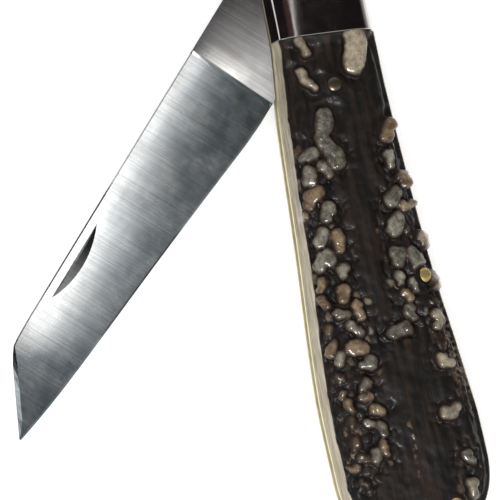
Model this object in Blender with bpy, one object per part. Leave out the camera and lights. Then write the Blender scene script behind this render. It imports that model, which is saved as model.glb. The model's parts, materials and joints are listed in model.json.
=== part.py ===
"""Single-blade slipjoint pocket knife with stag scales, lying on its pile side.

Frame: the pivot axis is the Z axis, +X runs to the butt, +Y to the back of the
handle, -Y to the slot that the blade folds into, and Z = 0 is the surface that
the knife lies on. The side that faces up carries the nail nick: the mark side.
"""

import math

import bmesh
import bpy

MM = 0.001

# Handle outline, in millimetres
FRONT_REACH = 7.2
BUTT_CENTRE = 82.0
BUTT_REACH = 12.3
END_FULLNESS = 2.4
BACK_AT_PIVOT = 8.6
SLOT_AT_PIVOT = 8.0
BOLSTER_LENGTH = 12.0
BOLSTER_SKEW = math.radians(3.8)
# share of the way from the bolster to the butt's centre, half-width there
BACK_CURVE = ((0.00, 8.6), (0.17, 8.6), (0.54, 9.6), (0.76, 11.0), (0.91, 11.9), (1.0, 12.0))
SLOT_CURVE = ((0.00, 8.2), (0.17, 9.5), (0.46, 10.9), (0.80, 12.7), (1.0, 12.7))

# Layers, from the middle plane outwards
BLADE_STOCK = 2.8
SIDE_PLAY = 0.05
LINER_THICKNESS = 1.0
LAYER_GAP = 0.05
COVER_EDGE = 2.6
COVER_RISE = 2.0
SIDE_DRAFT = 0.8
CROWN_REACH = 4.6

# Blade, in its own frame: +X along the spine to the tip, +Y to the cutting edge
CAM_RADIUS = 5.2
CAM_CLEARANCE = 0.08
SHOULDER_X = 3.0
KICK_LENGTH = 14.0
KICK_RELIEF = 0.4
KICK_BLEND = 1.0
GRIND_X = 21.2
GRIND_SKEW = 0.7
PLUNGE = 0.6
HEEL_X = 27.4
HEEL_Y = 6.95
TIP_COVER = 5.2
TIP_Y = 0.35
TIP_BLUNT = 0.35
BELLY = 0.45
DROP_ANGLE = math.radians(36.4)
KINK_ROUND = 1.6
KINK_LIFT = 0.4
SPINE_HALF_AT_HEEL = 1.28
SPINE_HALF_AT_TIP = 0.70
BEVEL_HALF = 0.16
EDGE_HALF = 0.05
EDGE_BEVEL = 0.3
SPINE_BEVEL = 0.25
SWEDGE = 0.9
# share of the blade's width that a bevel may take where the blade is narrow
BEVEL_SHARE = 1 / 3
# share of the thickness left at the top of the spine's bevel and of the swedge
SPINE_KEEP = 0.865
SWEDGE_KEEP = 0.55
CLOSED_ANGLE = math.radians(5.5)
REST_ANGLE = math.radians(42.9)

# Nail nick, cut by a cone whose flat end makes the straight wall
NICK_X = 60.5
NICK_INSET = 1.45
NICK_LENGTH = 14.1
NICK_DEPTH = 0.62
NICK_WIDTH = 1.95
NICK_SURFACE_HALF = 0.86

# Backspring
NOSE_GAP = 0.08
# share of the way from the bolster to the butt's centre, depth below the nose's face
SPRING_BELLY = ((0.0, 0.0), (0.30, 0.0), (0.585, 0.75), (0.80, -0.6), (0.92, 0.9))
TAIL_DEPTH = 6.5
TAIL_ANGLE = math.radians(-25.0)

# Pins and rivets
PIN_FIT = 0.05
PIVOT_PIN_RADIUS = 1.6
SCALE_PIN_RADIUS = 1.25
SCALE_PIN_PLACE = (20.2, -0.2)
CENTRE_PIN_RADIUS = 1.2
CENTRE_PIN_X = 52.9
CENTRE_PIN_INSET = 2.4
END_PIN_RADIUS = 1.2
END_PIN_INSET = 4.9
END_PIN_Y = 4.5
# how far the scales' pins stop below the outer surface, which the stag's hollows need
PIN_SET = 0.4
PIN_DOME = 0.25
# the dome's fall, as a share of its height, at a share of the pin's radius
DOME_SHOULDER = 0.6
DOME_FALL = 0.3
RIVET_RADIUS = 0.8
RIVET_DEPTH = 1.7
RIVET_INSET = 4.0
RIVET_Y = 4.2

# Resolution
PIN_SIDES = 32
CAM_STEPS = 32
NICK_SIDES = 256
FRONT_STEPS = 10
SIDE_STEPS = 26
BUTT_STEPS = 12
CROWN_STEPS = 5
BLADE_STEPS = 14
BLADE_ROWS = 3
DROP_STEPS = 10
COVER_SMOOTH = math.radians(30)
BLADE_SMOOTH = math.radians(4)
PIN_SMOOTH = math.radians(35)
CUT_TOLERANCE = 1e-6
MERGE_DISTANCE = 1e-4
CUTTER_OVERRUN = 1.0

# Worked out from the sizes above
TANG_HALF = BLADE_STOCK / 2
LINER_IN = TANG_HALF + SIDE_PLAY
LINER_OUT = LINER_IN + LINER_THICKNESS
COVER_IN = LINER_OUT + LAYER_GAP
MIDDLE = COVER_IN + COVER_EDGE + COVER_RISE
SPRING_FACE = CAM_RADIUS + CAM_CLEARANCE
NOSE_X = NOSE_GAP - SHOULDER_X
BUTT_END = BUTT_CENTRE + BUTT_REACH
SPINE_Y = -BACK_AT_PIVOT
TIP_X = BUTT_END - TIP_COVER
KINK_X = TIP_X - (TIP_Y - SPINE_Y) / math.tan(DROP_ANGLE)


def clear_scene():
    """Remove every object, so that the script can be run again."""
    for item in list(bpy.data.objects):
        bpy.data.objects.remove(item, do_unlink=True)


def make_material(name, colour, roughness, metallic):
    """Return a Principled material."""
    material = bpy.data.materials.new(name)
    material.use_nodes = True
    shader = material.node_tree.nodes["Principled BSDF"]
    shader.inputs["Base Color"].default_value = (*colour, 1.0)
    shader.inputs["Roughness"].default_value = roughness
    shader.inputs["Metallic"].default_value = metallic
    return material


def smooth_through(points, at):
    """Read a smooth curve through (place, value) points, held flat past its ends."""
    if at <= points[0][0]:
        return points[0][1]
    if at >= points[-1][0]:
        return points[-1][1]
    places = [p[0] for p in points]
    values = [p[1] for p in points]
    k = max(i for i in range(len(points) - 1) if places[i] <= at)

    def slope(i):
        low, high = max(i - 1, 0), min(i + 1, len(points) - 1)
        return (values[high] - values[low]) / (places[high] - places[low])

    span = places[k + 1] - places[k]
    t = (at - places[k]) / span
    return (
        values[k] * (2 * t**3 - 3 * t**2 + 1)
        + slope(k) * span * (t**3 - 2 * t**2 + t)
        + values[k + 1] * (3 * t**2 - 2 * t**3)
        + slope(k + 1) * span * (t**3 - t**2)
    )


def share_at(x):
    """Share of the way from the bolster's joint to the centre of the butt."""
    return (x - BOLSTER_LENGTH) / (BUTT_CENTRE - BOLSTER_LENGTH)


def place_at(share):
    """X of a share of the way from the bolster's joint to the centre of the butt."""
    return BOLSTER_LENGTH + share * (BUTT_CENTRE - BOLSTER_LENGTH)


def side_at(x, curve, at_pivot):
    """Half-width of one side of the handle between the pivot and the butt's centre."""
    if x < BOLSTER_LENGTH:
        return at_pivot + (curve[0][1] - at_pivot) * max(x, 0.0) / BOLSTER_LENGTH
    return smooth_through(curve, share_at(x))


def back_at(x):
    """Distance from the handle's middle line to its back."""
    return side_at(x, BACK_CURVE, BACK_AT_PIVOT)


def slot_at(x):
    """Distance from the handle's middle line to its slot side."""
    return side_at(x, SLOT_CURVE, SLOT_AT_PIVOT)


def full_round(angle, centre, reach, half_width):
    """Point of a rounded end, a little squarer than an ellipse."""
    power = 2 / END_FULLNESS
    c, s = math.cos(angle), math.sin(angle)
    x = math.copysign(abs(c) ** power, c)
    y = math.copysign(abs(s) ** power, s)
    return centre + reach * x, half_width * y


def arc_points(start, end, steps, centre, reach, half_width):
    """Points of a rounded end between two angles."""
    angles = [start + (end - start) * i / steps for i in range(steps + 1)]
    return [full_round(a, centre, reach, half_width) for a in angles]


def handle_outline():
    """Outline of the handle, anticlockwise from its front end."""
    half = math.pi / 2
    front_slot = arc_points(2 * half, 3 * half, FRONT_STEPS, 0.0, FRONT_REACH, SLOT_AT_PIVOT)
    front_back = arc_points(half, 2 * half, FRONT_STEPS, 0.0, FRONT_REACH, BACK_AT_PIVOT)
    butt_slot = arc_points(-half, 0.0, BUTT_STEPS, BUTT_CENTRE, BUTT_REACH, slot_at(BUTT_CENTRE))
    butt_back = arc_points(0.0, half, BUTT_STEPS, BUTT_CENTRE, BUTT_REACH, back_at(BUTT_CENTRE))
    places = [BUTT_CENTRE * i / SIDE_STEPS for i in range(1, SIDE_STEPS)]
    slot_side = [(x, -slot_at(x)) for x in places]
    back_side = [(x, back_at(x)) for x in reversed(places)]
    return front_slot + slot_side + butt_slot + butt_back[1:] + back_side + front_back[:-1]


def inset_outline(outline, depth):
    """Move each point of an anticlockwise outline inwards by a depth."""
    moved = []
    for i, (x, y) in enumerate(outline):
        x0, y0 = outline[i - 1]
        x1, y1 = outline[(i + 1) % len(outline)]
        length = math.hypot(x1 - x0, y1 - y0)
        moved.append((x - (y1 - y0) / length * depth, y + (x1 - x0) / length * depth))
    return moved


def edge_distance(x, y):
    """Distance from a point inside the handle to the handle's outline."""
    outline = handle_outline()
    best = math.inf
    for i, (x1, y1) in enumerate(outline):
        x0, y0 = outline[i - 1]
        dx, dy = x1 - x0, y1 - y0
        t = ((x - x0) * dx + (y - y0) * dy) / (dx * dx + dy * dy)
        t = min(1.0, max(0.0, t))
        best = min(best, math.hypot(x - x0 - t * dx, y - y0 - t * dy))
    return best


def cover_profile():
    """(inset, height above the cover's inner face) from the outline to the flat crown."""
    profile = [(0.0, 0.0)]
    for i in range(CROWN_STEPS + 1):
        a = math.pi / 2 * i / CROWN_STEPS
        inset = SIDE_DRAFT + CROWN_REACH * (1 - math.cos(a))
        profile.append((inset, COVER_EDGE + COVER_RISE * math.sin(a)))
    return profile


def cover_height(x, y):
    """Height of the knife's outer surface above the middle plane."""
    inset = min(edge_distance(x, y) - SIDE_DRAFT, CROWN_REACH)
    c = 1 - max(inset, 0.0) / CROWN_REACH
    return COVER_IN + COVER_EDGE + COVER_RISE * math.sqrt(1 - c * c)


def add_object(name, mesh, material):
    """Link a finished mesh as a named object."""
    body = bpy.data.objects.new(name, mesh)
    if material:
        mesh.materials.append(material)
    bpy.context.scene.collection.objects.link(body)
    return body


def finish_mesh(bm, name, smooth_angle=None):
    """Turn a bmesh in millimetres into a mesh in metres, its faces pointing out."""
    bmesh.ops.recalc_face_normals(bm, faces=bm.faces)
    bmesh.ops.scale(bm, vec=(MM, MM, MM), verts=bm.verts)
    mesh = bpy.data.meshes.new(name)
    bm.to_mesh(mesh)
    bm.free()
    if smooth_angle is not None:
        mesh.shade_smooth()
        mesh.set_sharp_from_angle(angle=smooth_angle)
    return mesh


def ring(bm, points, z):
    """Add a ring of vertices at one height."""
    return [bm.verts.new((x, y, z)) for x, y in points]


def bridge(bm, low, high):
    """Join two rings of the same count with quads."""
    for i, vert in enumerate(low):
        j = (i + 1) % len(low)
        bm.faces.new((vert, low[j], high[j], high[i]))


def plate(name, outline, low, high, material):
    """Flat plate between two heights."""
    bm = bmesh.new()
    bottom = ring(bm, outline, low)
    top = ring(bm, outline, high)
    bridge(bm, bottom, top)
    bm.faces.new(top)
    bm.faces.new(list(reversed(bottom)))
    return add_object(name, finish_mesh(bm, name), material)


def cylinder_mesh(name, x, y, radius, low, high):
    """Plain round bar, for cutting holes."""
    turn = [2 * math.pi * i / PIN_SIDES for i in range(PIN_SIDES)]
    outline = [(x + radius * math.cos(a), y + radius * math.sin(a)) for a in turn]
    return plate(name, outline, low, high, None)


def hide_cutter(cutter):
    """Mark an object as a cutter."""
    cutter.hide_render = True
    cutter.display_type = "WIRE"
    return cutter


def cut(target, cutter):
    """Cut one object with another."""
    modifier = target.modifiers.new(cutter.name, "BOOLEAN")
    modifier.operation = "DIFFERENCE"
    modifier.solver = "EXACT"
    modifier.object = cutter


def hole_cutter(name, x, y, radius):
    """Cutter for a pin's hole through every layer."""
    low, high = -CUTTER_OVERRUN, 2 * MIDDLE + CUTTER_OVERRUN
    return hide_cutter(cylinder_mesh(name, x, y, radius + PIN_FIT, low, high))


def side_height(side, height):
    """World height of a distance from the middle plane, side +1 for the mark side."""
    return MIDDLE + side * height


def blind_cutter(name, side, x, y, radius, depth):
    """Cutter for a hole that stops inside one side's bolster."""
    reach = (LINER_IN - CUTTER_OVERRUN, COVER_IN + depth + PIN_FIT)
    low, high = sorted(side_height(side, height) for height in reach)
    return hide_cutter(cylinder_mesh(name, x, y, radius + PIN_FIT, low, high))


def cover_solid(name, side, front, material):
    """Bolster or scale: one side's domed cover, cut at the bolster's joint."""
    outline = handle_outline()
    bm = bmesh.new()
    rings = []
    for inset, height in cover_profile():
        z = side_height(side, COVER_IN + height)
        rings.append(ring(bm, inset_outline(outline, inset), z))
    for low, high in zip(rings, rings[1:]):
        bridge(bm, low, high)
    bm.faces.new(rings[0])
    bm.faces.new(rings[-1])
    way = -1 if front else 1
    normal = (way * math.cos(BOLSTER_SKEW), -way * math.sin(BOLSTER_SKEW), 0.0)
    start = (BOLSTER_LENGTH + way * LAYER_GAP / 2, 0.0, 0.0)
    geometry = bm.verts[:] + bm.edges[:] + bm.faces[:]
    cut_parts = bmesh.ops.bisect_plane(
        bm, geom=geometry, dist=CUT_TOLERANCE, plane_co=start, plane_no=normal, clear_inner=True
    )
    loop = [e for e in cut_parts["geom_cut"] if isinstance(e, bmesh.types.BMEdge)]
    bmesh.ops.edgeloop_fill(bm, edges=loop)
    return add_object(name, finish_mesh(bm, name, COVER_SMOOTH), material)


def liner(name, side, material):
    """Brass liner of one side."""
    heights = sorted((side_height(side, LINER_IN), side_height(side, LINER_OUT)))
    return plate(name, handle_outline(), *heights, material)


def spring_inner(x):
    """Inner face of the backspring."""
    return SPRING_FACE - smooth_through(SPRING_BELLY, share_at(x))


def backspring(material):
    """Backspring: nose over the tang, belly at its pin, tail filling the butt."""
    places = [BUTT_CENTRE * i / SIDE_STEPS for i in range(SIDE_STEPS)]
    tail_start = place_at(SPRING_BELLY[-1][0])
    inner = [(x, spring_inner(x)) for x in places if x < tail_start]
    nose = [(NOSE_X, BACK_AT_PIVOT), (NOSE_X, SPRING_FACE)]
    tail = arc_points(
        TAIL_ANGLE, 0.0, BUTT_STEPS // 2, BUTT_CENTRE, BUTT_REACH, slot_at(BUTT_CENTRE)
    )
    heel = (tail[0][0] - TAIL_DEPTH, spring_inner(tail_start) - TAIL_DEPTH)
    butt = arc_points(0.0, math.pi / 2, BUTT_STEPS, BUTT_CENTRE, BUTT_REACH, back_at(BUTT_CENTRE))
    back = [(x, back_at(x)) for x in reversed(places)]
    outline = nose + inner + [heel] + tail + butt[1:] + back
    low, high = MIDDLE - TANG_HALF, MIDDLE + TANG_HALF
    return plate("backspring", outline, low, high, material)


def edge_y(x):
    """Cutting edge of the blade."""
    if x < HEEL_X:
        return HEEL_Y
    t = (x - HEEL_X) / (TIP_X - HEEL_X)
    return HEEL_Y + (TIP_Y - HEEL_Y) * t + BELLY * math.sin(math.pi * t**3)


def top_y(x):
    """Spine of the blade, and the straight drop to its tip."""
    past = x - KINK_X
    eased = KINK_LIFT * math.exp(-((past / KINK_ROUND) ** 2))
    return SPINE_Y + (max(past, 0.0) + eased) * math.tan(DROP_ANGLE)


def wedge_half(x, y):
    """Half-thickness of the flat-ground blade, before its bevels."""
    along = (x - GRIND_X) / (TIP_X - GRIND_X)
    spine = SPINE_HALF_AT_HEEL + (SPINE_HALF_AT_TIP - SPINE_HALF_AT_HEEL) * along
    up = (edge_y(x) - y) / (edge_y(x) - SPINE_Y)
    return BEVEL_HALF + (spine - BEVEL_HALF) * up


def blade_station(x, ground):
    """(x, y, half-thickness) across the blade at one place along it."""
    top, edge = top_y(x), edge_y(x)
    width = edge - top
    past = min(max((x - KINK_X) / KINK_ROUND, 0.0), 1.0)
    top_bevel = min(SPINE_BEVEL + (SWEDGE - SPINE_BEVEL) * past, width * BEVEL_SHARE)
    edge_bevel = min(EDGE_BEVEL, width * BEVEL_SHARE)
    flat = (width - top_bevel - edge_bevel) / BLADE_ROWS
    rows = [top] + [top + top_bevel + flat * i for i in range(BLADE_ROWS)]
    rows += [edge - edge_bevel, edge]
    if not ground:
        skewed = [x + GRIND_SKEW * (y - top) / width for y in rows]
        return [(px, y, TANG_HALF) for px, y in zip(skewed, rows)]
    station = []
    for y in rows:
        half = wedge_half(x, y)
        skew = GRIND_SKEW * (y - top) / width if x <= GRIND_X + PLUNGE else 0.0
        station.append([x + skew, y, half])
    station[0][2] *= SPINE_KEEP + (SWEDGE_KEEP - SPINE_KEEP) * past
    station[-1][2] = EDGE_HALF
    return [tuple(point) for point in station]


def blade_places():
    """Places along the ground part of the blade, closer together near its tip."""
    start = GRIND_X + PLUNGE
    body = [start + (KINK_X - KINK_ROUND - start) * i / BLADE_STEPS for i in range(BLADE_STEPS)]
    end = TIP_X - TIP_BLUNT
    drop_start = KINK_X - KINK_ROUND
    drop = [drop_start + (end - drop_start) * i / DROP_STEPS for i in range(DROP_STEPS + 1)]
    return body + drop


def tang_outline(grind_line):
    """Tang from the end of the grind line round its cam to the spine's shoulder."""
    along = (math.cos(CLOSED_ANGLE), math.sin(CLOSED_ANGLE))
    out = (-along[1], along[0])

    def kick_point(distance, relief):
        lift = CAM_RADIUS - relief
        return out[0] * lift + along[0] * distance, out[1] * lift + along[1] * distance

    relief_end = (grind_line[-1][0] - kick_point(0.0, KICK_RELIEF)[0]) / along[0]
    points = [kick_point(relief_end - KICK_BLEND, KICK_RELIEF)]
    points.append(kick_point(KICK_LENGTH + KICK_BLEND, KICK_RELIEF))
    points.append(kick_point(KICK_LENGTH, 0.0))
    start = math.pi / 2 + CLOSED_ANGLE
    end = 2 * math.pi - math.acos(SHOULDER_X / CAM_RADIUS)
    for i in range(CAM_STEPS + 1):
        a = start + (end - start) * i / CAM_STEPS
        points.append((CAM_RADIUS * math.cos(a), CAM_RADIUS * math.sin(a)))
    points.append((SHOULDER_X, SPINE_Y))
    return points


def blade_mesh():
    """Flat tang, and the flat-ground blade beyond its grind line."""
    stations = [blade_station(GRIND_X, False)]
    stations += [blade_station(x, True) for x in blade_places()]
    tang = tang_outline(stations[0])
    bm = bmesh.new()
    sheets = []
    for way in (1, -1):
        grid = [[bm.verts.new((x, y, way * half)) for x, y, half in s] for s in stations]
        rim = ring(bm, tang, way * TANG_HALF)
        for near, far in zip(grid, grid[1:]):
            for i in range(len(near) - 1):
                bm.faces.new((near[i], far[i], far[i + 1], near[i + 1]))
        bm.faces.new(grid[0] + rim)
        around = [row[0] for row in reversed(grid)] + list(reversed(rim))
        sheets.append(around + [row[-1] for row in grid] + list(reversed(grid[-1][1:-1])))
    bridge(bm, sheets[0], sheets[1])
    return finish_mesh(bm, "blade", BLADE_SMOOTH)


def nick_cutter():
    """Cone whose flat end cuts the nick's straight wall, in the blade's frame.

    The cone runs on past the nick's shallow side, at the same slope, to clear the surface.
    """
    half = NICK_LENGTH / 2
    radius = (half**2 + NICK_DEPTH**2) / (2 * NICK_DEPTH)
    centre_z = NICK_SURFACE_HALF - NICK_DEPTH + radius
    wall_y = SPINE_Y + NICK_INSET
    turn = [2 * math.pi * i / NICK_SIDES for i in range(NICK_SIDES)]
    bm = bmesh.new()
    rings = []
    for shrink, y in ((0.0, wall_y), (2 * NICK_DEPTH, wall_y + 2 * NICK_WIDTH)):
        r = radius - shrink
        circle = [(NICK_X + r * math.cos(a), y, centre_z + r * math.sin(a)) for a in turn]
        rings.append([bm.verts.new(point) for point in circle])
    bridge(bm, rings[0], rings[1])
    bm.faces.new(rings[0])
    bm.faces.new(rings[1])
    return hide_cutter(add_object("nick_cutter", finish_mesh(bm, "nick_cutter"), None))


def turned_pin(name, x, y, radius, low, high, domes, material):
    """Round pin with domed ends, spun from its profile."""
    low_dome, high_dome = domes
    shoulder = radius * DOME_SHOULDER
    profile = [(0.0, low), (shoulder, low + low_dome * DOME_FALL), (radius, low + low_dome)]
    profile += [(radius, high - high_dome), (shoulder, high - high_dome * DOME_FALL), (0.0, high)]
    bm = bmesh.new()
    verts = [bm.verts.new((r, 0.0, z)) for r, z in profile]
    edges = [bm.edges.new(pair) for pair in zip(verts, verts[1:])]
    bmesh.ops.spin(
        bm, geom=verts + edges, cent=(0, 0, 0), axis=(0, 0, 1), dvec=(0, 0, 0),
        angle=2 * math.pi, steps=PIN_SIDES, use_merge=True,
    )
    bmesh.ops.remove_doubles(bm, verts=bm.verts, dist=MERGE_DISTANCE)
    body = add_object(name, finish_mesh(bm, name, PIN_SMOOTH), material)
    body.location = (x * MM, y * MM, 0.0)
    return body


def through_pin(name, x, y, radius, material):
    """Pin through the whole knife, its domed ends set into both scales."""
    reach = cover_height(x, y) - PIN_SET
    domes = (PIN_DOME, PIN_DOME)
    return turned_pin(name, x, y, radius, MIDDLE - reach, MIDDLE + reach, domes, material)


def side_pin(name, side, place, radius, reach, dome, material):
    """Short pin through one liner, out to a distance from the middle plane."""
    inner = side_height(side, LINER_IN)
    outer = side_height(side, reach)
    if side > 0:
        return turned_pin(name, *place, radius, inner, outer, (0.0, dome), material)
    return turned_pin(name, *place, radius, outer, inner, (dome, 0.0), material)


def build():
    """Model every piece of the knife."""
    clear_scene()
    steel = make_material("blade_steel", (0.62, 0.64, 0.66), 0.28, 1.0)
    spring_steel = make_material("spring_steel", (0.50, 0.50, 0.50), 0.35, 1.0)
    nickel = make_material("nickel_silver", (0.55, 0.53, 0.50), 0.12, 1.0)
    brass = make_material("brass", (0.80, 0.66, 0.36), 0.30, 1.0)
    stag = make_material("stag", (0.16, 0.13, 0.11), 0.40, 0.0)

    centre_pin_place = (CENTRE_PIN_X, back_at(CENTRE_PIN_X) - CENTRE_PIN_INSET)
    end_pin_place = (BUTT_END - END_PIN_INSET, END_PIN_Y)
    rivet_places = [(BOLSTER_LENGTH - RIVET_INSET, y) for y in (-RIVET_Y, RIVET_Y)]

    pivot_hole = hole_cutter("pivot_hole", 0.0, 0.0, PIVOT_PIN_RADIUS)
    scale_hole = hole_cutter("scale_hole", *SCALE_PIN_PLACE, SCALE_PIN_RADIUS)
    centre_hole = hole_cutter("centre_hole", *centre_pin_place, CENTRE_PIN_RADIUS)
    end_hole = hole_cutter("end_hole", *end_pin_place, END_PIN_RADIUS)

    blade = add_object("blade", blade_mesh(), steel)
    blade.location.z = MIDDLE * MM
    blade.rotation_euler.z = -REST_ANGLE
    nick = nick_cutter()
    nick.location.z = MIDDLE * MM
    nick.rotation_euler.z = -REST_ANGLE
    cut(blade, nick)
    cut(blade, pivot_hole)

    spring = backspring(spring_steel)
    cut(spring, centre_hole)
    cut(spring, end_hole)

    for side, word in ((1, "mark_side"), (-1, "pile_side")):
        bolster = cover_solid(f"{word}_bolster", side, True, nickel)
        scale = cover_solid(f"{word}_scale", side, False, stag)
        plate_of_side = liner(f"{word}_liner", side, brass)
        rivet_holes = [
            blind_cutter(f"{word}_rivet_hole_{i + 1}", side, *place, RIVET_RADIUS, RIVET_DEPTH)
            for i, place in enumerate(rivet_places)
        ]
        for hole in [pivot_hole] + rivet_holes:
            cut(bolster, hole)
            cut(plate_of_side, hole)
        for hole in (scale_hole, centre_hole, end_hole):
            cut(scale, hole)
            cut(plate_of_side, hole)
        reach = cover_height(*SCALE_PIN_PLACE) - PIN_SET
        side_pin(
            f"{word}_scale_pin", side, SCALE_PIN_PLACE, SCALE_PIN_RADIUS, reach, PIN_DOME, nickel
        )
        reach = COVER_IN + RIVET_DEPTH
        for i, place in enumerate(rivet_places):
            side_pin(
                f"{word}_bolster_rivet_{i + 1}", side, place, RIVET_RADIUS, reach, 0.0, nickel
            )

    reach = cover_height(0.0, 0.0)
    turned_pin(
        "pivot_pin", 0.0, 0.0, PIVOT_PIN_RADIUS, MIDDLE - reach, MIDDLE + reach, (0.0, 0.0), nickel
    )
    through_pin("spring_centre_pin", *centre_pin_place, CENTRE_PIN_RADIUS, brass)
    through_pin("spring_end_pin", *end_pin_place, END_PIN_RADIUS, brass)


build()
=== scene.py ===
"""Looks of the folding whittling knife: stag scales, bolsters, liners, spring, blade and pins.

Every piece is measured from the CAD nodes. Lengths in this file are millimetres unless a
name says otherwise, and meshes are scaled to metres when they are made.
"""

import json
import math

import bmesh
import bpy
import numpy as np
from mathutils import Matrix, Vector


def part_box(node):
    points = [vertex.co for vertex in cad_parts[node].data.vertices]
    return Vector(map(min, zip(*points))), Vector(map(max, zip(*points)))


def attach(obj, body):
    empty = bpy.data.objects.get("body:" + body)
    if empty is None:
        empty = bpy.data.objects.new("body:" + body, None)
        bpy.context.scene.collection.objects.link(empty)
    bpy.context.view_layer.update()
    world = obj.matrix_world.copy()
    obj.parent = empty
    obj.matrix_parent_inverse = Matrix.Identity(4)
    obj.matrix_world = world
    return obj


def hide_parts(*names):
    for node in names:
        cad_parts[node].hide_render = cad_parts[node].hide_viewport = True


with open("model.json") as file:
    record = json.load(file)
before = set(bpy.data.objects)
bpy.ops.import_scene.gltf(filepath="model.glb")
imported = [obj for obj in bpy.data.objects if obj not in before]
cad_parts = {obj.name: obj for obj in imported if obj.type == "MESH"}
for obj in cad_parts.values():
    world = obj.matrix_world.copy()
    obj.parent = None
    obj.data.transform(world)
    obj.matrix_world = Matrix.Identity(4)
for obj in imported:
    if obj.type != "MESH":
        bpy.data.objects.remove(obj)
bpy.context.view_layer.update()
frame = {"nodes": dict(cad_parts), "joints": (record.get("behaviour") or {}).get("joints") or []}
NODES = frame["nodes"]
MM = 0.001

# Camera, as the photograph was taken: from straight above, leaning to the butt and the slot side
CAMERA_LEAN_X = 0.0828
CAMERA_LEAN_Y = -0.1334
CAMERA_ROLL = -0.2110
CAMERA_DISTANCE = 450.0
CAMERA_LENS = 202.4
AIM = (43.0, -18.2, 7.1)

# Stag scales: the grid's cell, the bark's depths, the nodules' growth and waver, and how the bark
# fades at the slot side's bone wall, at the joint to the bolster and round the pins
CELL = 0.20
CHANNEL_DEPTH = 0.60
CLUSTER_DEPTH = 0.50
PEBBLE = 0.42
BEAD_SIZE = 1.55
NODULE_GROWTH = 0.20
WAVER = 0.24
FINE_WAVER = 0.15
FLANK_START = 24.0
FLANK_SET = 30.0
# rows that the bone wall climbs on its two shelves, and where along the handle each shelf and
# the back's specks rise, are full, fall and end
SHELF_ROWS = 5.0
LOW_SHELF_ROWS = 2.0
SHELF = (44.0, 47.0, 52.0, 56.0)
LOW_SHELF = (52.0, 56.0, 66.0, 70.0)
BACK_SPECKS = (55.0, 60.0, 70.0, 76.0)
CRACK_WIDTH = 0.3
BROWN_HEIGHT = 0.6
CREASE_DEPTH = 0.16
SPECK_RISE = 0.12
JOINT_FADE = 1.6
JOINT_RISE_FADE = 3.0
SEAT_BLEND = (0.1, 0.9)
DOME_REACH = 1.15
TOP_STAND = 0.25
BACK_STAND = 1.0
SLOT_STAND = 0.1
PIN_SEAT = 0.62
SLOT_SET = 0.30
SPECK_SIZE = 0.55

# Pins
PIN_SIDES = 48
DOME_RINGS = 8

# Blade: the tang's square corner ends short of the first length, and the kink's curve drops
# by less than the second
TANG_CORNER = 6.0
KINK_DROP = 0.9
# shares of the way from the grind line to the kink, where the blade's painted sheen, highlight and shade
# change
BLADE_ZONES = (0.1, 0.45, 0.8)
# how far the grind line leans along the blade for each millimetre across it
GRIND_LEAN = 0.045

# Shades of the nodules, as the bark's shade mask holds them
SHADE = {"pale": 1.0, "grey": 0.75, "tan": 0.5, "brown": 0.25}
MOSTLY_GREY = ("grey",) * 6 + ("tan",)

# Nodules of the bark lie in rows along each scale. A row has its stretch along the scale and its
# place across it at both ends, as shares of the scale's length and half width, how far its
# nodules stray from it, their spacing, radius and length, and the shades they take
ROWS = (
    ((0.02, 0.12), (-0.35, -0.45), 0.3, 5.5, (0.9, 1.2), 4.5, ("pale",)),
    ((0.02, 0.12), (0.42, 0.50), 0.5, 3.5, (1.4, 2.0), 6.0, ("pale",)),
    ((0.14, 0.22), (-0.22, -0.15), 0.2, 9.0, (1.4, 1.7), 9.0, ("grey",)),
    ((0.20, 0.42), (0.62, 0.50), 1.0, 0.8, (0.9, 1.5), 2.4, MOSTLY_GREY),
    ((0.22, 0.46), (-0.50, -0.46), 1.4, 0.7, (1.0, 1.6), 2.4, MOSTLY_GREY),
    ((0.50, 0.66), (-0.46, -0.42), 1.5, 0.7, (0.9, 1.5), 2.4, MOSTLY_GREY),
    ((0.68, 0.84), (-0.42, -0.48), 1.3, 0.7, (0.7, 1.1), 1.8, MOSTLY_GREY),
    ((0.22, 0.88), (-0.68, -0.72), 0.5, 1.5, (0.6, 1.0), 1.8, ("grey", "tan", "brown")),
    ((0.45, 0.60), (0.44, 0.28), 1.2, 0.7, (0.9, 1.4), 2.2, MOSTLY_GREY),
    ((0.42, 0.96), (0.72, 0.62), 0.6, 7.0, (0.9, 1.3), 2.6, ("grey", "pale")),
)
# least gap between nodules, which may overlap a little; spread of their bends, in radians; and
# the furthest that one strays, in spreads
NODULE_GAP = -0.2
LEAN = 0.7
STRAY_LIMIT = 1.1
# the two bars' shares of a nodule's length
BAR_SHARES = (0.4, 0.6)
MARK_SEED = 12
PILE_SEED = 8
# where the drying crack starts and ends, as shares of the scale's length
CRACK = (0.76, 0.88)

# Studio: where the key lamp and the bolsters' cards hang and point, and the room's colours; the
# dark strip of the room is centred a little off X = 0, and fades over the two edge values
KEY_PLACE = (235, -110, 340)
KEY_AIM = (45, 0, 10)
CAP_AIM = (0, -4, 12)
CARD_TURN = math.radians(-45)
WARM = (1, 0.5, 0.45)
DARK_STRIP_X = 0.15
DARK_STRIP_EDGE = (0.27, 0.45)
DARK_ROOM = (0.014, 0.010, 0.011, 1)
PALE_ROOM = (0.55, 0.55, 0.55, 1)
SEEN_WALL = (0.90, 0.90, 0.90, 1)


def add_piece(name, mesh, material, body, replaced):
    """Link a mesh as a piece that rides on a CAD body and stands for CAD nodes."""
    piece = bpy.data.objects.new(name, mesh)
    bpy.context.scene.collection.objects.link(piece)
    mesh.materials.clear()
    mesh.materials.append(material)
    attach(piece, body)
    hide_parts(*replaced)
    return piece


# ---------------------------------------------------------------- noise


def cell_value(ix, iy, seed):
    """A random value from 0 to 1 for each cell of a square lattice."""
    h = (ix * 374761393 + iy * 668265263 + seed * 144665) & 0x7FFFFFFF
    h = ((h ^ (h >> 13)) * 1274126177) & 0x7FFFFFFF
    return ((h ^ (h >> 16)) & 0xFFFF) / 65535


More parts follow.
